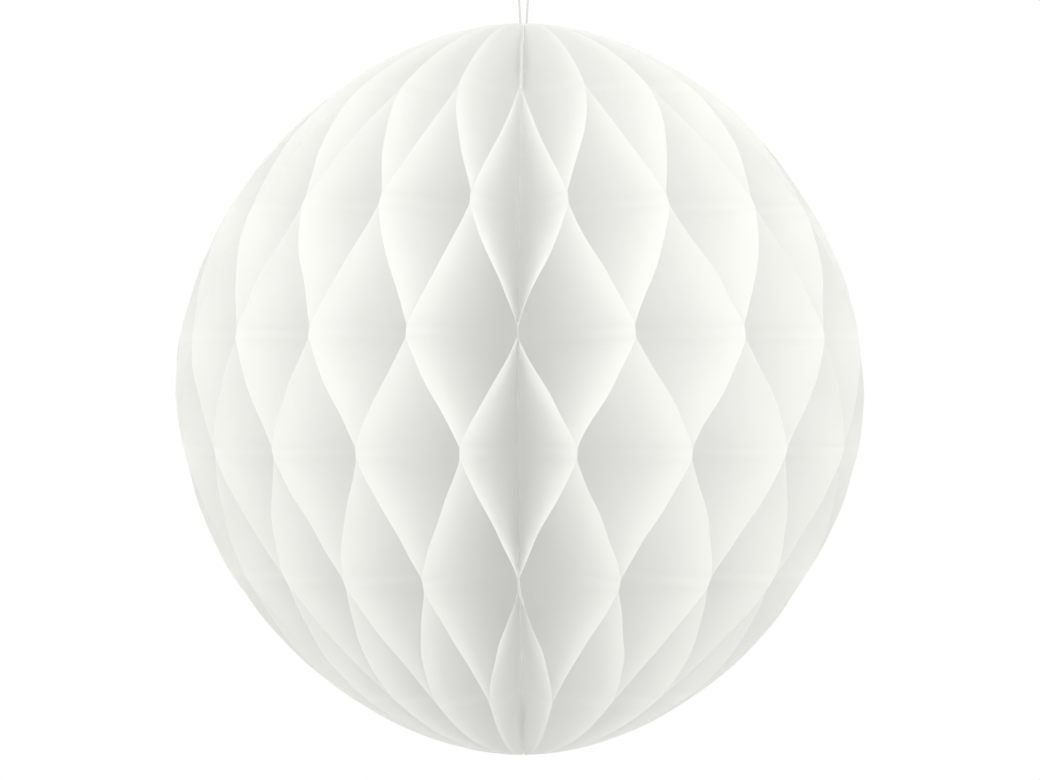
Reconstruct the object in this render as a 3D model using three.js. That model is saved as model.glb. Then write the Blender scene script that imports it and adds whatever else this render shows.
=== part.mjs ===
// Honeycomb paper ball: tissue leaves glued to each other in staggered rows, fanned open round a
// bound spine, closed at the back by two card covers and hung on a loop of string.
// Millimetres, +Z up, the front towards -Y. The origin is where a hook takes the loop.

import * as THREE from "three";

// The open ball
const BALL_HEIGHT = 300; // pole to pole, the length of the spine
const BALL_WIDTH = 282; // across the ball at its middle
const OUTLINE_POWER = 1.85; // 2 gives an ellipse, and a little less draws the poles out

// The leaves and their rows of glue
const LEAF_COUNT = 40;
const PAPER = 0.2; // thickness of a leaf
const GLUE_GAP = 0.1; // film of glue between two faces
const ROW_PITCH = 47; // from one row of glue to the next
const ROW_SHIFT = -2.5; // how far the rows sit above the middle of the ball
const ROW_SLIP_RATIOS = [0, -0.02, 0.02, -0.02, 0.035, 0.04]; // of the pitch, from the lowest row up
const GLUE_STRIP = 5; // height of a glued strip
const POLE_MARGIN = 20; // least height of loose paper between a pole and its nearest strip
const TIP_WIDTH = 3; // width of a leaf where it ends at a pole
const FOLD_EASE_RATIO = 0.2; // 0 takes a leaf straight from strip to strip, 1 takes it there in a soft wave

// How unevenly the fan stands open, with turns in degrees round the spine
const FRONT_TURN = -0.7; // turn of the leaves at the front
const SIDE_TURN = 5.5; // turn of the leaves at both sides, which crowds the left front and the right back
const SPREAD_TURN = 0.4; // turn of the leaves at the sides away from the front, at mid height
const TOP_SPREAD_TURN = 2.2; // how much more they turn away at the top pole, and less at the bottom
const FULLER_LEFT_RATIO = 0.01; // how much further out the leaves reach on the left, and less on the right

// The covers and the tape that holds them face to face
const CARD = 0.5; // thickness of a cover
const TAPE = 0.2; // thickness of the double-sided tape
const TAPE_WIDTH = 12;
const TAPE_LENGTH = 60;
const TAPE_INSET = 12; // from the curved edge of a cover to the middle of a tape, at its outer end
const TAPE_HEIGHT = 60; // from the middle of the ball to the middle of a tape

// The spine and the string
const SPINE_CLEARANCE = 0.3; // from the binding to the leaves round it, and to the string above it
const STRING = 0.8; // diameter of the string
const STRING_SEAT = 6; // how far the ends of the string go down into the spine
const LOOP_HEIGHT = 50; // from the top pole to the hook

// How finely the curves are drawn
const FLIGHT_STEPS = 3; // levels from one strip to the next
const CAP_STEPS = 5; // levels from the last strip to the pole
const COVER_STEPS = 28; // lengths along the curved edge of a cover
const BINDING_SIDES = 16;
const STRING_SIDES = 8;
const STRING_STEPS = 60;

// Route of one side of the string in the XZ plane, from inside the spine to the top of the loop
const STRING_ROUTE = [
  [0.9, -56],
  [1, -53],
  [1.2, -50],
  [1.5, -45],
  [1.8, -40],
  [2.4, -30],
  [3, -20],
  [3.6, -10],
  [3.92, -5],
  [3.76, -2.23],
  [2.83, -0.77],
  [1.37, 0.16],
  [0, 0.4],
];

// Sizes that follow
const halfHeight = BALL_HEIGHT / 2;
const halfWidth = BALL_WIDTH / 2;
const leafAngle = (2 * Math.PI) / LEAF_COUNT;
const coverOffset = TAPE / 2 + GLUE_GAP; // from the seam to the inner face of a cover
const seamHalf = coverOffset + CARD + GLUE_GAP / 2;
const seamStep = seamHalf / (LEAF_COUNT / 2); // what each leaf gives way for a cover at the seam
const leafSlot = PAPER + GLUE_GAP + seamStep; // room that a leaf takes round the spine
const spineRadius = leafSlot / leafAngle;
const tipRadius = spineRadius + TIP_WIDTH;

const tissue = new THREE.MeshStandardMaterial({ color: 0xf7f7f3, roughness: 0.9, metalness: 0 });
const card = new THREE.MeshStandardMaterial({ color: 0xf4f3ee, roughness: 0.75, metalness: 0 });
const adhesive = new THREE.MeshStandardMaterial({ color: 0xece9df, roughness: 0.4, metalness: 0 });
const cotton = new THREE.MeshStandardMaterial({ color: 0xf2f1ec, roughness: 0.85, metalness: 0 });

const group = new THREE.Group();
const ball = new THREE.Group();
ball.position.z = -(LOOP_HEIGHT + halfHeight);
group.add(ball);

function addPiece(parent, name, geometry, material) {
  const mesh = new THREE.Mesh(geometry, material);
  mesh.name = name;
  parent.add(mesh);
  return mesh;
}

// The outline that leaves and covers share: radius at a height above the middle, and the reverse.
function outlineRadius(height) {
  const share = Math.abs(height / halfHeight) ** OUTLINE_POWER;
  return halfWidth * (1 - share) ** (1 / OUTLINE_POWER);
}

function outlineHeight(radius) {
  const share = (radius / halfWidth) ** OUTLINE_POWER;
  return halfHeight * (1 - share) ** (1 / OUTLINE_POWER);
}

// Rows of glue from the bottom to the top, each slipped a little from its even place. From row to row a
// leaf is glued to its other neighbour.
function glueRows() {
  const rows = [];
  const highest = halfHeight - POLE_MARGIN - GLUE_STRIP / 2;
  const most = Math.ceil(halfHeight / ROW_PITCH);
  for (let index = -most; index <= most; index += 1) {
    const height = ROW_SHIFT + (index + 0.5) * ROW_PITCH;
    const lean = index % 2 === 0 ? 1 : -1;
    if (Math.abs(height) > highest) continue;
    const slip = (ROW_SLIP_RATIOS[rows.length] ?? 0) * ROW_PITCH;
    rows.push({ height: height + slip, lean });
  }
  return rows;
}

// Levels of a leaf from the bottom pole to the top pole. The lean at a level runs from -1, against
// the neighbour on one side, to 1, against the neighbour on the other side.
function leafLevels() {
  const rows = glueRows();
  const cap = ({ height, lean }, pole) => {
    const start = outlineRadius(height + (pole * GLUE_STRIP) / 2);
    const levels = [];
    for (let step = 1; step < CAP_STEPS; step += 1) {
      const radius = THREE.MathUtils.lerp(start, tipRadius, step / CAP_STEPS);
      levels.push({ height: pole * outlineHeight(radius), radius, lean });
    }
    return [...levels, { height: pole * halfHeight, radius: tipRadius, lean }];
  };
  const levels = cap(rows[0], -1).reverse();
  const addLevel = (height, lean) => levels.push({ height, radius: outlineRadius(height), lean });
  rows.forEach((row, index) => {
    const top = row.height + GLUE_STRIP / 2;
    addLevel(row.height - GLUE_STRIP / 2, row.lean);
    addLevel(top, row.lean);
    if (index === rows.length - 1) return;
    const rise = rows[index + 1].height - row.height - GLUE_STRIP;
    for (let step = 1; step < FLIGHT_STEPS; step += 1) {
      const share = step / FLIGHT_STEPS;
      const wave = THREE.MathUtils.smoothstep(share, 0, 1);
      const eased = THREE.MathUtils.lerp(share, wave, FOLD_EASE_RATIO);
      addLevel(top + share * rise, row.lean * (1 - 2 * eased));
    }
  });
  return [...levels, ...cap(rows[rows.length - 1], 1)];
}

// Angle round the ball, from the front, of the plane where a leaf meets the next one. Planes are counted
// from the seam, which the turns leave in place.
function planeAngle(plane, height) {
  const even = plane * leafAngle - Math.PI;
  const turn = FRONT_TURN * Math.cos(even / 2) ** 2 + SIDE_TURN * Math.sin(even) ** 2;
  const spread = SPREAD_TURN + (TOP_SPREAD_TURN * height) / halfHeight;
  return even + THREE.MathUtils.degToRad(turn + spread * Math.sin(even));
}

// A leaf as a thin closed sheet between two planes of the fan. Each level is straight from the spine to
// the curved edge and leans towards one plane or the other, so the sheet twists between strips. The leaf
// keeps inside its own slot, clear of both neighbours by half a film of glue.
function leafGeometry(index, around) {
  const turn = index % 2 === 0 ? -1 : 1; // neighbours lean opposite ways
  const fullness = 1 - FULLER_LEFT_RATIO * Math.sin(around);
  const cornerCount = 4; // of each level: the spine end and the outer end on either face
  const positions = [];
  const indices = [];
  const addQuad = (a, b, c, d) => indices.push(a, b, c, a, c, d);
  const levels = leafLevels();
  levels.forEach(({ height, radius, lean }, level) => {
    const share = (1 + turn * lean) / 2; // of the way from one plane to the other
    const angle = THREE.MathUtils.lerp(planeAngle(index, height), planeAngle(index + 1, height), share);
    const middle = (-turn * lean * leafSlot) / 2;
    for (const face of [middle - PAPER / 2, middle + PAPER / 2]) {
      for (const out of [spineRadius, radius * fullness]) {
        const x = out * Math.sin(angle) + face * Math.cos(angle);
        const y = -out * Math.cos(angle) + face * Math.sin(angle);
        positions.push(x, y, height);
      }
    }
    if (level === 0) return;
    const top = level * cornerCount;
    const low = top - cornerCount;
    addQuad(low, low + 1, top + 1, top);
    addQuad(low + 2, top + 2, top + 3, low + 3);
    addQuad(low + 1, low + 3, top + 3, top + 1);
    addQuad(low, top, top + 2, low + 2);
  });
  const last = (levels.length - 1) * cornerCount;
  addQuad(0, 2, 3, 1);
  addQuad(last, last + 1, last + 3, last + 2);
  const geometry = new THREE.BufferGeometry();
  geometry.setAttribute("position", new THREE.Float32BufferAttribute(positions, 3));
  geometry.setIndex(indices);
  geometry.computeVertexNormals();
  return geometry;
}

// The fan of leaves runs once round from the seam at the back, and each leaf is pushed round from the
// seam by its share of the covers' thickness.
function addLeaves() {
  for (let index = 0; index < LEAF_COUNT; index += 1) {
    const around = (index + 0.5) * leafAngle - Math.PI;
    const push = (-around / leafAngle) * seamStep;
    const name = `leaf_${String(index + 1).padStart(2, "0")}`;
    const leaf = addPiece(ball, name, leafGeometry(index, around), tissue);
    leaf.position.set(push * Math.cos(around), push * Math.sin(around), 0);
  }
}

// A cover as a flat card in the YZ plane, with the leaves' outline and its thickness along X.
function coverGeometry() {
  const shape = new THREE.Shape();
  shape.moveTo(spineRadius, -halfHeight);
  shape.lineTo(tipRadius, -halfHeight);
  for (let step = 1; step < COVER_STEPS; step += 1) {
    const rise = Math.sin((step / COVER_STEPS - 0.5) * Math.PI);
    const height = halfHeight * Math.sign(rise) * Math.abs(rise) ** (2 / OUTLINE_POWER);
    shape.lineTo(outlineRadius(height), height);
  }
  shape.lineTo(tipRadius, halfHeight);
  shape.lineTo(spineRadius, halfHeight);
  const geometry = new THREE.ExtrudeGeometry(shape, { depth: CARD, bevelEnabled: false });
  const [x, y, z] = [[1, 0, 0], [0, 1, 0], [0, 0, 1]].map((axis) => new THREE.Vector3(...axis));
  return geometry.applyMatrix4(new THREE.Matrix4().makeBasis(y, z, x));
}

function addSeam() {
  const cover = coverGeometry();
  addPiece(ball, "cover_right", cover, card).position.x = coverOffset;
  addPiece(ball, "cover_left", cover, card).position.x = -coverOffset - CARD;
  const strip = new THREE.BoxGeometry(TAPE, TAPE_WIDTH, TAPE_LENGTH);
  const reach = outlineRadius(TAPE_HEIGHT + TAPE_LENGTH / 2) - TAPE_INSET;
  addPiece(ball, "seam_tape_upper", strip, adhesive).position.set(0, reach, TAPE_HEIGHT);
  addPiece(ball, "seam_tape_lower", strip, adhesive).position.set(0, reach, -TAPE_HEIGHT);
}

// The binding that gathers the straight edges of the leaves, stopping short of the string's ends
function addBinding() {
  const radius = spineRadius - SPINE_CLEARANCE;
  const length = BALL_HEIGHT - STRING_SEAT - SPINE_CLEARANCE;
  const rod = new THREE.CylinderGeometry(radius, radius, length, BINDING_SIDES).rotateX(Math.PI / 2);
  addPiece(ball, "spine_binding", rod, cotton).position.z = length / 2 - halfHeight;
}

// The string goes up one side, over the hook and down the other side.
function addString() {
  const rising = STRING_ROUTE.map(([x, z]) => new THREE.Vector3(-x, 0, z));
  const falling = STRING_ROUTE.slice(0, -1).map(([x, z]) => new THREE.Vector3(x, 0, z));
  const route = new THREE.CatmullRomCurve3([...rising, ...falling.reverse()]);
  const section = new THREE.Shape().absarc(0, 0, STRING / 2, 0, 2 * Math.PI);
  const tube = new THREE.ExtrudeGeometry(section, {
    curveSegments: STRING_SIDES / 2,
    steps: STRING_STEPS,
    extrudePath: route,
  });
  addPiece(group, "hanging_string", tube, cotton);
}

addLeaves();
addSeam();
addBinding();
addString();

export default group;
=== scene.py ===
"""Looks of a honeycomb paper ball: tissue leaves, card covers, tape, a bound spine and a loop of string.

Every size is in metres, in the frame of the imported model: +Z up along the spine, -Y to the front, and the
origin where a hook takes the loop.
"""

import logging
import math
from dataclasses import dataclass
from enum import Enum

import bpy
import numpy as np
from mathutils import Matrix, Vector


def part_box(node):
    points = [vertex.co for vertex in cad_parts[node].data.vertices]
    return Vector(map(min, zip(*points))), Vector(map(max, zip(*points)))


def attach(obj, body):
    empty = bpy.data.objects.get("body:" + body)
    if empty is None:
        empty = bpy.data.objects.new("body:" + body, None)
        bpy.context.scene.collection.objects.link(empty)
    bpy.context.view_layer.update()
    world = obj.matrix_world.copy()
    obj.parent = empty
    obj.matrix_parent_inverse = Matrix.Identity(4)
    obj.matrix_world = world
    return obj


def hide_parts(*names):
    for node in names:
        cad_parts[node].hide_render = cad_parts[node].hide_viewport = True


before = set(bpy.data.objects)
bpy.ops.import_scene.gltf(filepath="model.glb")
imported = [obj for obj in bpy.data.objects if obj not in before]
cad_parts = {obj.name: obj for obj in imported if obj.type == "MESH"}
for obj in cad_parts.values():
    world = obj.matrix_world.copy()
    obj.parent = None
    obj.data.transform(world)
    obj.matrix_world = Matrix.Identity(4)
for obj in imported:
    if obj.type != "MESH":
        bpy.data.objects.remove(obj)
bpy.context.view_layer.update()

MM = 0.001
PAPER_MAP = "paper"
SMOOTH_DEG = 180.0
CREASE_DEG = 40.0
CORD_CREASE_DEG = 75.0
PHOTO_WIDTH = 1040
PHOTO_HEIGHT = 780
log = logging.getLogger("honeycomb_ball")


class Slot(Enum):
    """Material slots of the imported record."""

    TISSUE = "tissue"
    CARD = "card"
    ADHESIVE = "adhesive"
    COTTON = "cotton"


class Side(Enum):
    """The two halves of the seam, as the sign of X."""

    LEFT = -1
    RIGHT = 1


class Pole(Enum):
    """The two ends of the spine, as the sign of Z."""

    BOTTOM = -1
    TOP = 1


def linear(hex_colour: str) -> tuple[float, float, float, float]:
    """Turns an sRGB hex colour into linear light.

    Args:
        hex_colour: Six hex digits after a hash.

    Returns:
        Red, green, blue and an alpha of 1.
    """
    parts = [int(hex_colour[i:i + 2], 16) / 255 for i in (1, 3, 5)]
    red, green, blue = [p / 12.92 if p <= 0.04045 else ((p + 0.055) / 1.055) ** 2.4 for p in parts]
    return red, green, blue, 1.0


def add_node(tree: bpy.types.NodeTree, kind: str, inputs: dict | None = None, **settings) -> bpy.types.Node:
    """Adds a node, sets its settings, and fills or links its inputs.

    Args:
        tree: The material's or world's node tree.
        kind: The node's type.
        inputs: A value, or another node's output, for each input by its name or number.
        **settings: The node's own properties.

    Returns:
        The new node.
    """
    node = tree.nodes.new(kind)
    for name, value in settings.items():
        setattr(node, name, value)
    for key, value in (inputs or {}).items():
        if isinstance(value, bpy.types.NodeSocket):
            tree.links.new(value, node.inputs[key])
        else:
            node.inputs[key].default_value = value
    return node


def new_material(name: str) -> tuple[bpy.types.Material, bpy.types.NodeTree]:
    """Makes a material with an empty node tree.

    Args:
        name: Name of the material.

    Returns:
        The material and its tree.
    """
    material = bpy.data.materials.new(name)
    material.use_nodes = True
    material.node_tree.nodes.clear()
    return material, material.node_tree


def place_mesh(name: str, points: np.ndarray, faces: np.ndarray, sharp_deg: float) -> bpy.types.Object:
    """Makes an object from points and four-cornered faces, shaded smooth.

    Args:
        name: Name of the piece.
        points: Places of its points.
        faces: Numbers of the four points of each face.
        sharp_deg: Faces that meet at more than this angle keep a sharp edge.

    Returns:
        The new object, with its place in its mesh.
    """
    mesh = bpy.data.meshes.new(name)
    mesh.from_pydata(points.tolist(), [], faces.tolist())
    mesh.shade_smooth()
    mesh.set_sharp_from_angle(angle=math.radians(sharp_deg))
    piece = bpy.data.objects.new(name, mesh)
    bpy.context.scene.collection.objects.link(piece)
    return piece


def loft(name: str, rings: np.ndarray, sharp_deg: float = CREASE_DEG) -> bpy.types.Object:
    """Makes a closed mesh through rings of points, with a lid on each end.

    Args:
        name: Name of the piece.
        rings: Points by ring, place in the ring and axis. A ring has an even number of points.
        sharp_deg: Faces that meet at more than this angle keep a sharp edge.

    Returns:
        The new object.
    """
    count, around, _ = rings.shape
    index = np.arange(count * around).reshape(count, around)
    ahead = np.roll(index, -1, axis=1)
    sides = np.stack([index[:-1], ahead[:-1], ahead[1:], index[1:]], axis=-1).reshape(-1, 4)
    near = np.arange(around // 2 - 1)
    far = around - 1 - near
    lid = np.stack([near, far, far - 1, near + 1], axis=-1)
    faces = np.concatenate([sides, index[0][lid], index[-1][lid[:, ::-1]]])
    points = rings.reshape(-1, 3)
    a, b, c, d = (points[faces[:, corner]] for corner in range(4))
    volume = np.sum(np.cross(a, b) * c) + np.sum(np.cross(a, c) * d)
    if volume < 0:
        faces = faces[:, ::-1]
    return place_mesh(name, points, faces, sharp_deg)


def sheet(name: str, grid: np.ndarray, marks: np.ndarray) -> bpy.types.Object:
    """Makes an open sheet through a grid of points, with a UV map that marks places on the paper.

    Args:
        name: Name of the piece.
        grid: Points by row, place in the row and axis.
        marks: The two UV values of each point, in the same order.

    Returns:
        The new object.
    """
    index = np.arange(grid.shape[0] * grid.shape[1]).reshape(grid.shape[:2])
    corners = [index[:-1, :-1], index[:-1, 1:], index[1:, 1:], index[1:, :-1]]
    faces = np.stack(corners, axis=-1).reshape(-1, 4)
    piece = place_mesh(name, grid.reshape(-1, 3), faces, SMOOTH_DEG)
    layer = piece.data.uv_layers.new(name=PAPER_MAP)
    layer.uv.foreach_set("vector", marks.reshape(-1, 2)[faces.ravel()].ravel())
    return piece


def dress(piece: bpy.types.Object, material: bpy.types.Material, slot: Slot, *nodes: str) -> bpy.types.Object:
    """Gives a piece its material, and sets it on the body in place of the CAD nodes it stands for.

    Args:
        piece: The piece, in place.
        material: Its material.
        slot: The record's material slot; not used.
        *nodes: The CAD nodes it stands for.

    Returns:
        The same piece.
    """
    piece.data.materials.append(material)
    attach(piece, "root")
    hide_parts(*nodes)
    log.info("%s: %d points", piece.name, len(piece.data.vertices))
    return piece


@dataclass(frozen=True)
class TissueFinish:
    """Bleached tissue paper, creped thin and unglazed: dead matt, and light comes through it.

    Light bounces from leaf to leaf many times, so the cells stay pale only because the paper takes up next to
    none of it. Painted shade darkens the paper. There is none at the spine, which stays white, and the most
    at the curved edge. It grows faster along the rows away from the middle, and it reaches further in towards
    the poles, all the way in under them, where the leaves are gathered. A painted highlight lightens the
    outer quarter of each leaf again. The cloudy formation of the fibres shows as a faint mottle in the
    painted shade.
    Each row of glue lifts the painted shade of the two sheets that it joins, as painted light. Single fibres
    are too fine to show, so their relief is drawn as coarse as small tufts.
    """

    # Painted shade: the paper at the curved edge, mottled between these two greys.
    edge_shade_colour: str = "#F6F6F6"
    cloud_shade_colour: str = "#F8F8F8"
    spine_colour: str = "#FFFFFF"
    # Painted highlight: the outer quarter of each leaf is lightened to this colour.
    rim_highlight_colour: str = "#FBFBFB"
    rim_highlight_from: float = 0.75
    # Painted shade under the poles, and a gain that makes the painted shade grow faster along rows away from
    # the middle.
    pole_shade: float = 0.3
    pole_rows: float = 0.35
    pole_shade_gain: float = 1.2
    shade_gain_from_rows: float = 0.5
    # Painted light: each row of glue lifts the painted shade of the paper by this share.
    glue_row_light_colour: str = "#FFFFFF"
    glue_row_light_share: float = 0.35
    glue_line: float = 6 * MM
    through: float = 0.32
    roughness: float = 0.95
    mottle: float = 5 * MM
    fibre: float = 1.2 * MM
    fibre_height: float = 0.03 * MM
    relief: float = 0.35
    specular: float = 0.15

    def painted_shade_share(
        self, tree: bpy.types.NodeTree, mark: bpy.types.Node, row_count: int
    ) -> bpy.types.NodeSocket:
        """Works out the share of painted shade on the paper, from none at the spine to all at the curved
        edge.

        Args:
            tree: The material's tree.
            mark: The node that gives the marks on the paper.
            row_count: Number of rows of glue.

        Returns:
            The share of the painted shade's colour.
        """
        middle_row = (row_count - 1) / 2
        level = add_node(tree, "ShaderNodeMath", {0: mark.outputs["Y"], 1: middle_row}, operation="SUBTRACT")
        off_middle = add_node(tree, "ShaderNodeMath", {0: level.outputs[0]}, operation="ABSOLUTE")
        # Painted shade that rises towards each pole, at every share of the way out.
        gathered = add_node(
            tree, "ShaderNodeMapRange",
            {
                "Value": off_middle.outputs[0],
                "From Min": middle_row - self.pole_rows,
                "From Max": middle_row + self.pole_rows,
                "To Max": self.pole_shade,
            },
            interpolation_type="SMOOTHSTEP",
        )
        # The painted shade grows faster along rows away from the middle.
        shade_speedup = add_node(
            tree, "ShaderNodeMapRange",
            {
                "Value": off_middle.outputs[0],
                "From Min": self.shade_gain_from_rows,
                "From Max": middle_row,
                "To Min": 1.0,
                "To Max": self.pole_shade_gain,
            },
        )
        outward = add_node(
            tree, "ShaderNodeMath", {0: mark.outputs["X"], 1: shade_speedup.outputs["Result"]}, operation="MULTIPLY"
        )
        painted_shade = add_node(
            tree, "ShaderNodeMath",
            {0: outward.outputs[0], 1: gathered.outputs["Result"]},
            operation="MAXIMUM",
        )
        return painted_shade.outputs[0]

    def colour(self, tree: bpy.types.NodeTree, row_count: int, row_pitch: float) -> bpy.types.NodeSocket:
        """Mixes the paper's colour, with its painted shade and painted light, from the marks on it.

        Args:
            tree: The material's tree.
            row_count: Number of rows of glue.
            row_pitch: Distance from one row of glue to the next.

        Returns:
            The colour.
        """
        place = add_node(tree, "ShaderNodeTexCoord").outputs["Object"]
        cloud = add_node(
            tree, "ShaderNodeTexNoise", {"Vector": place, "Scale": 1 / self.mottle, "Detail": 3.0}
        )
        # Painted shade colour, mottled by the fibres' cloudy formation.
        edge = add_node(
            tree, "ShaderNodeMix",
            {"Factor": cloud.outputs["Fac"], "A": linear(self.edge_shade_colour), "B": linear(self.cloud_shade_colour)},
            data_type="RGBA",
        )
        marks = add_node(tree, "ShaderNodeUVMap", uv_map=PAPER_MAP)
        mark = add_node(tree, "ShaderNodeSeparateXYZ", {"Vector": marks.outputs["UV"]})
        painted_shade = self.painted_shade_share(tree, mark, row_count)
        # Painted shade: white at the spine, grey towards the curved edge.
        paper = add_node(
            tree, "ShaderNodeMix",
            {"Factor": painted_shade, "A": linear(self.spine_colour), "B": edge.outputs["Result"]},
            data_type="RGBA",
        )
        # Painted highlight over the outer quarter of the leaf.
        cut = add_node(
            tree, "ShaderNodeMapRange",
            {"Value": mark.outputs["X"], "From Min": self.rim_highlight_from},
            interpolation_type="SMOOTHSTEP",
        )
        rim = add_node(
            tree, "ShaderNodeMix",
            {"Factor": cut.outputs["Result"], "A": paper.outputs["Result"], "B": linear(self.rim_highlight_colour)},
            data_type="RGBA",
        )
        # Painted light: each row of glue lifts part of the painted shade.
        to_row = add_node(tree, "ShaderNodeMath", {0: mark.outputs["Y"], 1: 0.5}, operation="PINGPONG")
        line = add_node(
            tree, "ShaderNodeMapRange",
            {
                "Value": to_row.outputs[0],
                "From Max": self.glue_line / 2 / row_pitch,
                "To Min": self.glue_row_light_share,
                "To Max": 0.0,
            },
            interpolation_type="SMOOTHSTEP",
        )
        glued = add_node(
            tree, "ShaderNodeMix",
            {"Factor": line.outputs["Result"], "A": rim.outputs["Result"], "B": linear(self.glue_row_light_colour)},
            data_type="RGBA",
        )
        return glued.outputs["Result"]

    def material(self, row_count: int, row_pitch: float) -> bpy.types.Material:
        """Builds the material.

        Args:
            row_count: Number of rows of glue.
            row_pitch: Distance from one row of glue to the next.

        Returns:
            The material.
        """
        material, tree = new_material("tissue paper, creped and bleached")
        colour = self.colour(tree, row_count, row_pitch)
        place = add_node(tree, "ShaderNodeTexCoord").outputs["Object"]
        fibre = add_node(
            tree, "ShaderNodeTexNoise", {"Vector": place, "Scale": 1 / self.fibre, "Detail": 2.0}
        )
        relief = add_node(
            tree, "ShaderNodeBump",
            {"Height": fibre.outputs["Fac"], "Strength": self.relief, "Distance": self.fibre_height},
        )
        front = add_node(
            tree, "ShaderNodeBsdfPrincipled",
            {
                "Base Color": colour,
                "Roughness": self.roughness,
                "Specular IOR Level": self.specular,
                "Normal": relief.outputs["Normal"],
            },
        )
        behind = add_node(
            tree, "ShaderNodeBsdfTranslucent", {"Color": colour, "Normal": relief.outputs["Normal"]}
        )
        paper = add_node(
            tree, "ShaderNodeMixShader",
            {0: self.through, 1: front.outputs["BSDF"], 2: behind.outputs["BSDF"]},
        )
        add_node(tree, "ShaderNodeOutputMaterial", {"Surface": paper.outputs["Shader"]})
        return material


@dataclass(frozen=True)
class CardFinish:
    """Uncoated white card, calendered: flat and smooth, with a faint grain that is drawn coarse, to show."""

    colour: str = "#F4F3EE"
    grain_colour: str = "#EBE9E2"
    roughness: float = 0.8
    grain: float = 1.5 * MM
    grain_height: float = 0.02 * MM
    relief: float = 0.3
    specular: float = 0.3

    def material(self) -> bpy.types.Material:
        """Builds the material.

        Returns:
            The material.
        """
        material, tree = new_material("white card, calendered")
        place = add_node(tree, "ShaderNodeTexCoord").outputs["Object"]
        grain = add_node(
            tree, "ShaderNodeTexNoise", {"Vector": place, "Scale": 1 / self.grain, "Detail": 4.0}
        )
        colour = add_node(
            tree, "ShaderNodeMix",
            {"Factor": grain.outputs["Fac"], "A": linear(self.colour), "B": linear(self.grain_colour)},
            data_type="RGBA",
        )
        relief = add_node(
            tree, "ShaderNodeBump",
            {"Height": grain.outputs["Fac"], "Strength": self.relief, "Distance": self.grain_height},
        )
        shader = add_node(
            tree, "ShaderNodeBsdfPrincipled",
            {
                "Base Color": colour.outputs["Result"],
                "Roughness": self.roughness,
                "Specular IOR Level": self.specular,
                "Normal": relief.outputs["Normal"],
            },
        )
        add_node(tree, "ShaderNodeOutputMaterial", {"Surface": shader.outputs["BSDF"]})
        return material


@dataclass(frozen=True)
class TapeFinish:
    """Double-sided polypropylene tape, coated with acrylic adhesive: pale amber, with a soft wet sheen."""

    colour: str = "#ECE9DF"
    streak_colour: str = "#E2DDCD"
    roughness: float = 0.35
    streak: float = 0.8 * MM
    streak_bend: float = 2.0
    wave_period: float = 0.3
    ior: float = 1.49

    def material(self) -> bpy.types.Material:
        """Builds the material.

        Returns:
            The material.
        """
        material, tree = new_material("polypropylene tape, adhesive coated")
        place = add_node(tree, "ShaderNodeTexCoord").outputs["Object"]
        streaks = add_node(
            tree, "ShaderNodeTexWave",
            {
                "Vector": place,
                "Scale": self.wave_period / self.streak,
                "Distortion": self.streak_bend,
                "Detail": 2.0,
            },
            bands_direction="Y",
        )
        colour = add_node(
            tree, "ShaderNodeMix",
            {"Factor": streaks.outputs["Fac"], "A": linear(self.colour), "B": linear(self.streak_colour)},
            data_type="RGBA",
        )
        shader = add_node(
            tree, "ShaderNodeBsdfPrincipled",
            {"Base Color": colour.outputs["Result"], "Roughness": self.roughness, "IOR": self.ior},
        )
        add_node(tree, "ShaderNodeOutputMaterial", {"Surface": shader.outputs["BSDF"]})
        return material


@dataclass(frozen=True)
class CottonFinish:
    """Bleached cotton, spun and twisted: matt, with a soft halo of loose fibre and darker grooves.

    Its fibres are drawn some ten times as thick as they are, because they would be too fine to show.
    """

    name: str = "cotton string, spun and twisted"
    colour: str = "#DCDBD8"
    fibre_colour: str = "#D0CFCB"
    roughness: float = 0.9
    fibre: float = 0.25 * MM
    specular: float = 0.2
    sheen: float = 0.15

    def material(self) -> bpy.types.Material:
        """Builds the material.

        Returns:
            The material.
        """
        material, tree = new_material(self.name)
        place = add_node(tree, "ShaderNodeTexCoord").outputs["Object"]
        fibre = add_node(
            tree, "ShaderNodeTexNoise", {"Vector": place, "Scale": 1 / self.fibre, "Detail": 3.0}
        )
        colour = add_node(
            tree, "ShaderNodeMix",
            {"Factor": fibre.outputs["Fac"], "A": linear(self.colour), "B": linear(self.fibre_colour)},
            data_type="RGBA",
        )
        shader = add_node(
            tree, "ShaderNodeBsdfPrincipled",
            {
                "Base Color": colour.outputs["Result"],
                "Roughness": self.roughness,
                "Specular IOR Level": self.specular,
                "Sheen Weight": self.sheen,
            },
        )
        add_node(tree, "ShaderNodeOutputMaterial", {"Surface": shader.outputs["BSDF"]})
        return material


BINDING_THREAD = CottonFinish(
    name="cotton thread, bleached and wound", colour="#FFFFFF", fibre_colour="#FDFDFD"
)


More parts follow.
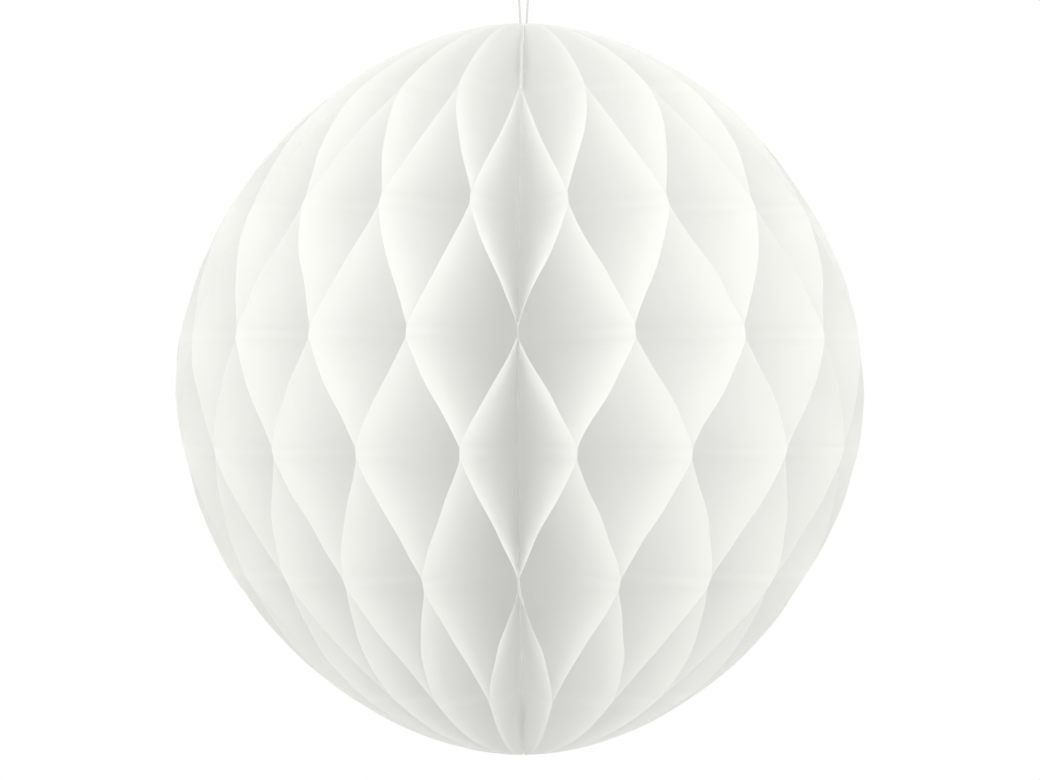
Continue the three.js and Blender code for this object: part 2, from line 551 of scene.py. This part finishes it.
@dataclass(frozen=True)
class BallForm:
    """Outline of the ball, its rows of glue, and how its fan of leaves stands open."""

    bottom: float
    top: float
    half_width: float
    spine_radius: float
    leaf_count: int
    outline_power: float = 1.85
    tip_width: float = 3 * MM
    row_count: int = 6
    row_pitch: float = 47 * MM
    row_shift: float = -2.5 * MM
    row_slip_ratios: tuple[float, ...] = (-0.085, -0.03, 0.03, 0.0, 0.065, 0.105)
    glue_strip: float = 5 * MM
    front_turn_deg: float = -0.92
    side_turn_deg: float = 5.5
    spread_deg: float = 0.4
    top_spread_deg: float = 2.2
    bunch_deg: float = 0.28
    top_bunch_deg: float = 1.38
    bunches: int = 4
    fuller_left: float = 0.01
    spine_bow: float = -2.2 * MM

    @property
    def half_height(self) -> float:
        """Half the distance from pole to pole."""
        return (self.top - self.bottom) / 2

    @property
    def middle(self) -> float:
        """Height of the ball's middle."""
        return (self.top + self.bottom) / 2

    @property
    def rows(self) -> np.ndarray:
        """Heights of the rows of glue from the bottom to the top, each a little off an even pitch."""
        places = np.arange(self.row_count) + 0.5 - self.row_count / 2 + self.row_slip_ratios
        return self.middle + self.row_shift + places * self.row_pitch

    @property
    def tip_radius(self) -> float:
        """Radius of a leaf where it ends at a pole."""
        return self.spine_radius + self.tip_width

    @property
    def leaf_angle(self) -> float:
        """Angle of the fan that one leaf takes."""
        return 2 * math.pi / self.leaf_count

    def radius(self, height: np.ndarray) -> np.ndarray:
        """Gives the outline's radius at heights above the frame's origin, never under the tip's."""
        share = np.clip(np.abs((height - self.middle) / self.half_height), 0, 1) ** self.outline_power
        return np.maximum(self.half_width * (1 - share) ** (1 / self.outline_power), self.tip_radius)

    def spine_shift(self, height: np.ndarray) -> np.ndarray:
        """Gives how far the soft spine bows along X at heights above the origin, none at the poles."""
        return self.spine_bow * np.cos(np.pi / 2 * (height - self.middle) / self.half_height)

    def cap_heights(self, row: float, pole: Pole, steps: int) -> np.ndarray:
        """Gives heights from the last row of glue to a pole, close together where the outline turns in.

        Args:
            row: Height of the edge of that row.
            pole: Which pole.
            steps: How many heights.

        Returns:
            The heights, ending at the pole.
        """
        start = math.asin((abs(row - self.middle) / self.half_height) ** (self.outline_power / 2))
        end = math.acos((self.tip_radius / self.half_width) ** (self.outline_power / 2))
        rise = np.sin(np.linspace(start, end, steps)[1:]) ** (2 / self.outline_power)
        return self.middle + pole.value * self.half_height * np.append(rise, 1.0)

    def plane_angle(self, plane: int, height: np.ndarray) -> np.ndarray:
        """Gives the angle round the spine, from the front, of a plane where two leaves meet.

        The fan stands tighter at the left front and the right back, and its front opens towards the top. The
        leaves bunch together at the front, the sides and the seam towards the top, and between these places
        towards the bottom.

        Args:
            plane: Number of the plane from the seam at the back.
            height: Heights at which the angle is wanted.

        Returns:
            The angles in radians.
        """
        angle = plane * self.leaf_angle - math.pi
        turn = self.front_turn_deg * math.cos(angle / 2) ** 2 + self.side_turn_deg * math.sin(angle) ** 2
        level = (height - self.middle) / self.half_height
        spread = self.spread_deg + self.top_spread_deg * level
        bunch = self.bunch_deg + self.top_bunch_deg * level
        return angle + np.radians(turn + spread * math.sin(angle) - bunch * math.sin(self.bunches * angle))


@dataclass
class LeafFan:
    """The tissue leaves, each glued by turns to one neighbour and the other, and twisting between."""

    form: BallForm
    finish: TissueFinish
    seam_half: float
    paper: float = 0.2 * MM
    glue_gap: float = 0.1 * MM
    fold_ease: float = 0.2
    cap_spread: float = 0.03
    ripple: float = 0.065
    edge_wobble: float = 0.45 * MM
    wave_lengths: tuple[float, ...] = (91 * MM, 43 * MM, 23 * MM)
    wave_slant: float = 0.4
    slack_range: tuple[float, float] = (0.5, 1.5)
    calm_tip: float = 2.0
    strip_steps: int = 4
    flight_steps: int = 16
    cap_steps: int = 16
    across_steps: int = 18
    seed: int = 7

    def levels(self) -> tuple[np.ndarray, np.ndarray, np.ndarray]:
        """Lists the levels of a leaf from the bottom pole to the top pole.

        Returns:
            Heights, leans from -1 to 1 towards one neighbour or the other, and how far each level is loose
            above or below the last row of glue.
        """
        form = self.form
        rows = form.rows
        leans = np.where((np.arange(form.row_count) - form.row_count // 2) % 2 == 0, 1.0, -1.0)
        half_strip = form.glue_strip / 2
        low_cap = form.cap_heights(rows[0] - half_strip, Pole.BOTTOM, self.cap_steps)[::-1]
        high_cap = form.cap_heights(rows[-1] + half_strip, Pole.TOP, self.cap_steps)
        loose = np.sin(np.pi * np.linspace(0, 1, self.cap_steps + 1)[1:])
        heights, bends, slack = [low_cap], [np.full(len(low_cap), leans[0])], [loose[::-1]]
        share = np.linspace(0, 1, self.flight_steps + 1)[1:-1]
        wave = share * share * (3 - 2 * share)
        eased = share + (wave - share) * self.fold_ease
        for number, (row, lean) in enumerate(zip(rows, leans)):
            heights.append(np.linspace(row - half_strip, row + half_strip, self.strip_steps))
            bends.append(np.full(self.strip_steps, lean))
            slack.append(np.zeros(self.strip_steps))
            if number < form.row_count - 1:
                heights.append(row + half_strip + share * (rows[number + 1] - row - form.glue_strip))
                bends.append(lean * (1 - 2 * eased))
                slack.append(np.zeros(len(share)))
        heights.append(high_cap)
        bends.append(np.full(len(high_cap), leans[-1]))
        slack.append(loose)
        return np.concatenate(heights), np.concatenate(bends), np.concatenate(slack)

    def waves(self, along: np.ndarray, random: np.random.Generator) -> np.ndarray:
        """Adds up a few waves of chance phase along a leaf.

        Args:
            along: Distances along the leaf.
            random: Source of the phases.

        Returns:
            The sum at each distance, 1 at most.
        """
        phases = random.uniform(0, 2 * np.pi, len(self.wave_lengths))
        pairs = zip(self.wave_lengths, phases)
        parts = [np.sin(2 * np.pi * along / length + phase) for length, phase in pairs]
        return np.sum(parts, axis=0) / len(parts)

    def leaf_grid(self, index: int, random: np.random.Generator) -> tuple[np.ndarray, np.ndarray]:
        """Works out one leaf as a grid, each level running straight from the spine to the curved edge.

        Args:
            index: Number of the leaf from the seam.
            random: Source of the ripples.

        Returns:
            The points, and for each the marks of its place on the paper: its share of the way out from the
            spine, and a count of rows of glue up to it.
        """
        form = self.form
        height, lean, slack = self.levels()
        turn = 1 if index % 2 else -1
        around = (index + 0.5) * form.leaf_angle - math.pi
        low, high = form.plane_angle(index, height), form.plane_angle(index + 1, height)
        reach = form.radius(height) * (1 - form.fuller_left * math.sin(around))
        free = reach > form.tip_radius * self.calm_tip
        reach = reach + self.edge_wobble * self.waves(height, random) * free
        share = np.linspace(0, 1, self.across_steps)
        out = form.spine_radius + share * (reach[:, None] - form.spine_radius)
        loose = self.cap_spread * slack * random.uniform(*self.slack_range)
        ripples = self.waves(height[:, None] + self.wave_slant * out, random)
        sway = ripples * self.ripple * (1 - lean**2)[:, None] * share
        bend = turn * np.clip((lean * (1 - loose))[:, None] + sway, -1, 1)
        angle = ((low + high) / 2)[:, None] + bend * ((high - low) / 2)[:, None]
        push = (form.leaf_count / 2 - index - 0.5) * self.seam_half / (form.leaf_count / 2)
        offset = -bend * (self.paper + self.glue_gap) / 2
        x = out * np.sin(angle) + offset * np.cos(angle) + push * math.cos(around)
        x = x + form.spine_shift(height)[:, None] * np.cos(angle / 2) ** 2 * (1 - share)
        y = -out * np.cos(angle) + offset * np.sin(angle) + push * math.sin(around)
        rows = np.interp(height, form.rows, np.arange(form.row_count))
        rows = rows + (height - np.clip(height, form.rows[0], form.rows[-1])) / form.row_pitch
        points = np.stack([x, y, np.broadcast_to(height[:, None], x.shape)], axis=-1)
        marks = np.stack(np.broadcast_arrays(share, rows[:, None]), axis=-1)
        return points, marks

    def build(self) -> list[bpy.types.Object]:
        """Builds and dresses all leaves.

        Returns:
            The leaves, from the seam round to the seam.
        """
        material = self.finish.material(self.form.row_count, self.form.row_pitch)
        random = np.random.default_rng(self.seed)
        leaves = []
        for index in range(self.form.leaf_count):
            node = f"leaf_{index + 1:02d}"
            piece = sheet(f"{node}_tissue", *self.leaf_grid(index, random))
            leaves.append(dress(piece, material, Slot.TISSUE, node))
        return leaves


@dataclass
class SeamCovers:
    """The two card covers that meet at the back, cut to the leaves' outline, with softly worn edges."""

    form: BallForm
    finish: CardFinish
    levels: int = 90
    across: int = 10
    round_steps: int = 5
    edge_share: float = 0.05

    def cover_rings(self, inner: float, outer: float) -> np.ndarray:
        """Works out the rings of one cover, with its curved edge rounded.

        Args:
            inner: X of the face towards the seam.
            outer: X of the face towards the leaves.

        Returns:
            Rings for a loft.
        """
        form = self.form
        upper = form.cap_heights(form.middle, Pole.TOP, self.levels // 2)
        lower = form.cap_heights(form.middle, Pole.BOTTOM, self.levels // 2)[::-1]
        height = np.concatenate([lower, [form.middle], upper])
        reach = form.radius(height)
        half = (outer - inner) / 2
        flat_width = reach[:, None] - abs(half) - form.spine_radius
        flat = form.spine_radius + np.linspace(0, 1, self.across) * flat_width
        turn = np.linspace(0, np.pi / 2, self.round_steps + 1)[1:]
        rim = reach[:, None] - abs(half) * (1 - np.sin(turn))
        y = np.concatenate([flat, rim], axis=1)
        depth = half * np.concatenate([np.ones(self.across), np.maximum(np.cos(turn), self.edge_share)])
        z = np.broadcast_to(height[:, None], y.shape)
        faces = [
            np.stack([np.broadcast_to((inner + outer) / 2 + sign * depth, y.shape), y, z], axis=-1)
            for sign in (-1, 1)
        ]
        return np.concatenate([faces[0], faces[1][:, ::-1]], axis=1)

    def build(self) -> list[bpy.types.Object]:
        """Builds and dresses both covers.

        Returns:
            The left and the right cover.
        """
        material = self.finish.material()
        covers = []
        for side in Side:
            node = f"cover_{side.name.lower()}"
            low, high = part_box(node)
            piece = loft(f"{node}_card", self.cover_rings(low.x, high.x))
            covers.append(dress(piece, material, Slot.CARD, node))
        return covers


@dataclass
class SeamTapes:
    """The strips of double-sided tape between the covers, with the toothed ends that a dispenser leaves."""

    finish: TapeFinish
    tooth: float = 1.5 * MM
    tooth_depth: float = 0.7 * MM
    teeth_points: int = 33
    levels: int = 40

    def tape_rings(self, node: str) -> np.ndarray:
        """Works out the rings of the tape that fills a CAD strip.

        Args:
            node: Name of the strip.

        Returns:
            Rings for a loft.
        """
        low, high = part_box(node)
        y = np.linspace(low.y, high.y, self.teeth_points)
        tooth = self.tooth_depth * np.abs(2 * ((y / self.tooth) % 1) - 1)
        share = np.linspace(0, 1, self.levels)[:, None]
        z = (low.z + tooth) + share * (high.z - low.z - 2 * tooth)
        y = np.broadcast_to(y, z.shape)
        faces = [np.stack([np.full(z.shape, x), y, z], axis=-1) for x in (low.x, high.x)]
        return np.concatenate([faces[0], faces[1][:, ::-1]], axis=1)

    def build(self) -> list[bpy.types.Object]:
        """Builds and dresses the strips.

        Returns:
            The upper and the lower strip.
        """
        material = self.finish.material()
        tapes = []
        for node in ("seam_tape_upper", "seam_tape_lower"):
            piece = loft(f"{node}_strip", self.tape_rings(node))
            tapes.append(dress(piece, material, Slot.ADHESIVE, node))
        return tapes


@dataclass
class SpineBinding:
    """The thread wound along the spine round the leaves' gathered edges, half as bowed as their front."""

    form: BallForm
    finish: CottonFinish
    thread: float = 1.2 * MM
    groove: float = 0.12
    dome: float = 1.5 * MM
    dome_share: float = 0.98
    step: float = 0.3 * MM
    sides: int = 20

    def rings(self) -> np.ndarray:
        """Works out the rings of the wound thread, domed at both ends.

        Returns:
            Rings for a loft.
        """
        low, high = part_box("spine_binding")
        height = np.linspace(low.z, high.z, round((high.z - low.z) / self.step))[:, None]
        angle = np.linspace(0, 2 * np.pi, self.sides, endpoint=False)
        to_end = np.minimum(height - low.z, high.z - height)
        closing = np.clip(1 - to_end / self.dome, 0, self.dome_share)
        groove = self.groove * np.sin(np.pi * height / self.thread + angle / 2) ** 2
        radius = high.x * np.sqrt(1 - closing**2) * (1 - groove)
        x, y = radius * np.cos(angle) + self.form.spine_shift(height) / 2, radius * np.sin(angle)
        return np.stack([x, y, np.broadcast_to(height, x.shape)], axis=-1)

    def build(self) -> bpy.types.Object:
        """Builds and dresses the binding, and returns it."""
        piece = loft("spine_binding_thread", self.rings(), CORD_CREASE_DEG)
        return dress(piece, self.finish.material(), Slot.COTTON, "spine_binding")


@dataclass
class HangingString:
    """The cotton string that comes out of the top of the spine, goes over a hook and back down."""

    form: BallForm
    finish: CottonFinish
    diameter: float = 0.8 * MM
    length: float = 118 * MM
    plies: int = 3
    twist: float = 3.2 * MM
    groove: float = 0.16
    fuzz: float = 0.04
    step: float = 0.2 * MM
    sides: int = 24
    spline_steps: int = 40
    cord_stride: int = 4
    seed: int = 11
    half_route: tuple[tuple[float, float], ...] = (
        (0.9 * MM, -56 * MM),
        (1 * MM, -53 * MM),
        (1.2 * MM, -50 * MM),
        (1.5 * MM, -45 * MM),
        (1.8 * MM, -40 * MM),
        (2.4 * MM, -30 * MM),
        (3 * MM, -20 * MM),
        (3.6 * MM, -10 * MM),
        (3.92 * MM, -5 * MM),
        (3.76 * MM, -2.23 * MM),
        (2.83 * MM, -0.77 * MM),
        (1.37 * MM, 0.16 * MM),
        (0.0, 0.4 * MM),
    )

    def path(self) -> np.ndarray:
        """Draws a smooth line through the route, up one side of the loop and down the other.

        Returns:
            Points at even steps along it.
        """
        rising = [(-x, z) for x, z in self.half_route]
        falling = [(x, z) for x, z in self.half_route[-2::-1]]
        route = np.array(rising + falling)
        padded = np.concatenate([[2 * route[0] - route[1]], route, [2 * route[-1] - route[-2]]])
        share = np.linspace(0, 1, self.spline_steps, endpoint=False)[:, None]
        line = []
        for a, b, c, d in zip(padded, padded[1:], padded[2:], padded[3:]):
            line.append(
                0.5 * (2 * b + (c - a) * share + (2 * a - 5 * b + 4 * c - d) * share**2
                       + (3 * b - a - 3 * c + d) * share**3)
            )
        line = np.concatenate([*line, route[-1:]])
        along = np.append(0, np.cumsum(np.linalg.norm(np.diff(line, axis=0), axis=1)))
        even = np.linspace(0, along[-1], round(along[-1] / self.step))
        x, z = (np.interp(even, along, line[:, axis]) for axis in (0, 1))
        return np.stack([x, np.zeros_like(x), z], axis=-1)

    def rings(self, path: np.ndarray) -> np.ndarray:
        """Works out the rings of the twisted plies along a path in the XZ plane.

        Args:
            path: The string's middle line.

        Returns:
            Rings for a loft.
        """
        random = np.random.default_rng(self.seed)
        tangent = np.gradient(path, axis=0)
        tangent /= np.linalg.norm(tangent, axis=1)[:, None]
        side = np.stack([tangent[:, 2], np.zeros(len(path)), -tangent[:, 0]], axis=-1)
        angle = np.linspace(0, 2 * np.pi, self.sides, endpoint=False)
        turn = 2 * np.pi * np.arange(len(path))[:, None] * self.step / self.twist
        lobes = 1 - self.groove * np.sin(self.plies / 2 * (angle - turn)) ** 2
        rough = 1 + self.fuzz * random.uniform(-1, 0, lobes.shape)
        radius = self.diameter / 2 * lobes * rough
        ring = radius[..., None] * np.cos(angle)[None, :, None] * side[:, None]
        ring[..., 1] += radius * np.sin(angle)
        return path[:, None] + ring

    def build(self) -> bpy.types.Object:
        """Returns:
            The string.
        """
        path = self.path()
        piece = loft("hanging_string_cotton", self.rings(path), CORD_CREASE_DEG)
        dress(piece, self.finish.material(), Slot.COTTON, "hanging_string")
        return piece


@dataclass
class Studio:
    """A pale floor well below the hanging ball, soft white light all round, and the camera."""

    form: BallForm
    eye_distance: float = 1.275
    eye_drop: float = 6.5 * MM
    focal_px: float = 3098.0
    axis_px: float = 523.5
    horizon_px: float = 405.0
    sensor: float = 36.0
    floor_drop: float = 1.5
    floor_radius: float = 1.2
    floor_clear: float = 0.5
    floor_sides: int = 96
    floor_colour: str = "#CDCDCB"
    floor_roughness: float = 0.9
    ground_colour: str = "#FFFFFF"
    light_colour: str = "#FFFFFA"
    brightest: float = 1.44
    dimmest: float = 0.27
    light_from: tuple[float, float, float] = (-0.02, -0.91, 0.38)
    most_bounces: int = 104
    paper_bounces: int = 72

    def camera(self) -> None:
        """Sets the camera level in front of the ball, with the shift that frames it."""
        data = bpy.data.cameras.new("camera")
        data.sensor_width = self.sensor
        data.lens = self.focal_px / PHOTO_WIDTH * self.sensor
        data.shift_x = (PHOTO_WIDTH / 2 - self.axis_px) / PHOTO_WIDTH
        data.shift_y = (self.horizon_px - PHOTO_HEIGHT / 2) / PHOTO_WIDTH
        eye = bpy.data.objects.new("camera", data)
        eye.location = (0, -self.eye_distance, self.form.middle - self.eye_drop)
        eye.rotation_euler = (math.pi / 2, 0, 0)
        bpy.context.scene.collection.objects.link(eye)
        bpy.context.scene.camera = eye

    def floor(self) -> None:
        """Lays a round pale floor that fades out at its rim and takes the ball's shadow."""
        angle = np.linspace(0, 2 * np.pi, self.floor_sides, endpoint=False)
        z = self.form.bottom - self.floor_drop
        rim = [(self.floor_radius * math.cos(a), self.floor_radius * math.sin(a), z) for a in angle]
        mesh = bpy.data.meshes.new("floor")
        mesh.from_pydata(rim, [], [list(range(len(rim)))])
        floor = bpy.data.objects.new("floor", mesh)
        bpy.context.scene.collection.objects.link(floor)
        material, tree = new_material("pale studio floor, painted")
        place = add_node(tree, "ShaderNodeTexCoord").outputs["Object"]
        flat = add_node(tree, "ShaderNodeVectorMath", {0: place, 1: (1, 1, 0)}, operation="MULTIPLY")
        out = add_node(tree, "ShaderNodeVectorMath", {0: flat.outputs["Vector"]}, operation="LENGTH")
        fade = add_node(
            tree, "ShaderNodeMapRange",
            {"Value": out.outputs["Value"], "From Min": self.floor_clear, "From Max": self.floor_radius},
            interpolation_type="SMOOTHSTEP",
        )
        paint = add_node(
            tree, "ShaderNodeBsdfPrincipled",
            {"Base Color": linear(self.floor_colour), "Roughness": self.floor_roughness},
        )
        clear = add_node(tree, "ShaderNodeBsdfTransparent")
        surface = add_node(
            tree, "ShaderNodeMixShader",
            {0: fade.outputs["Result"], 1: paint.outputs["BSDF"], 2: clear.outputs["BSDF"]},
        )
        add_node(tree, "ShaderNodeOutputMaterial", {"Surface": surface.outputs["Shader"]})
        floor.data.materials.append(material)

    def light(self) -> None:
        """Sets soft light all round, strongest from the upper front, and shows the camera a white ground.

        Light gets deep into the cells by many bounces from leaf to leaf, so its paths may be long. Rays
        through the tissue count as transmission, and take the studio's light and not the white ground.
        """
        world = bpy.data.worlds.new("studio")
        world.use_nodes = True
        tree = world.node_tree
        tree.nodes.clear()
        toward = add_node(tree, "ShaderNodeTexCoord").outputs["Generated"]
        facing = add_node(
            tree, "ShaderNodeVectorMath",
            {0: toward, 1: Vector(self.light_from).normalized()},
            operation="DOT_PRODUCT",
        )
        strength = add_node(
            tree, "ShaderNodeMapRange",
            {
                "Value": facing.outputs["Value"],
                "From Min": -1.0,
                "From Max": 1.0,
                "To Min": self.dimmest,
                "To Max": self.brightest,
            },
        )
        light = add_node(
            tree, "ShaderNodeBackground",
            {"Color": linear(self.light_colour), "Strength": strength.outputs["Result"]},
        )
        white = add_node(tree, "ShaderNodeBackground", {"Color": linear(self.ground_colour), "Strength": 1.0})
        path = add_node(tree, "ShaderNodeLightPath")
        seen = add_node(
            tree, "ShaderNodeMath",
            {0: path.outputs["Is Camera Ray"], 1: path.outputs["Is Glossy Ray"]},
            operation="MAXIMUM",
        )
        shown = add_node(
            tree, "ShaderNodeMixShader",
            {0: seen.outputs[0], 1: light.outputs["Background"], 2: white.outputs["Background"]},
        )
        add_node(tree, "ShaderNodeOutputWorld", {"Surface": shown.outputs["Shader"]})
        bpy.context.scene.world = world
        world.cycles.sampling_method = "NONE"
        cycles = bpy.context.scene.cycles
        cycles.max_bounces = self.most_bounces
        cycles.transmission_bounces = self.most_bounces
        cycles.diffuse_bounces = self.paper_bounces


def ball_form() -> BallForm:
    """Reads the ball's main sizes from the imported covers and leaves.

    Returns:
        The ball's form.
    """
    low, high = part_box("cover_right")
    leaves = [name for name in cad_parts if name.startswith("leaf_")]
    return BallForm(
        bottom=low.z, top=high.z, half_width=high.y, spine_radius=low.y, leaf_count=len(leaves)
    )


def main() -> None:
    """Builds the studio and the ball's pieces in order."""
    logging.basicConfig(level=logging.INFO, format="%(message)s")
    bpy.context.scene.view_settings.view_transform = "Standard"
    form = ball_form()
    studio = Studio(form)
    studio.camera()
    HangingString(form, CottonFinish()).build()
    seam_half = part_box("cover_right")[1].x + LeafFan.glue_gap / 2
    LeafFan(form, TissueFinish(), seam_half).build()
    SeamCovers(form, CardFinish()).build()
    SeamTapes(TapeFinish()).build()
    SpineBinding(form, BINDING_THREAD).build()
    studio.floor()
    studio.light()


if __name__ == "__main__":
    main()
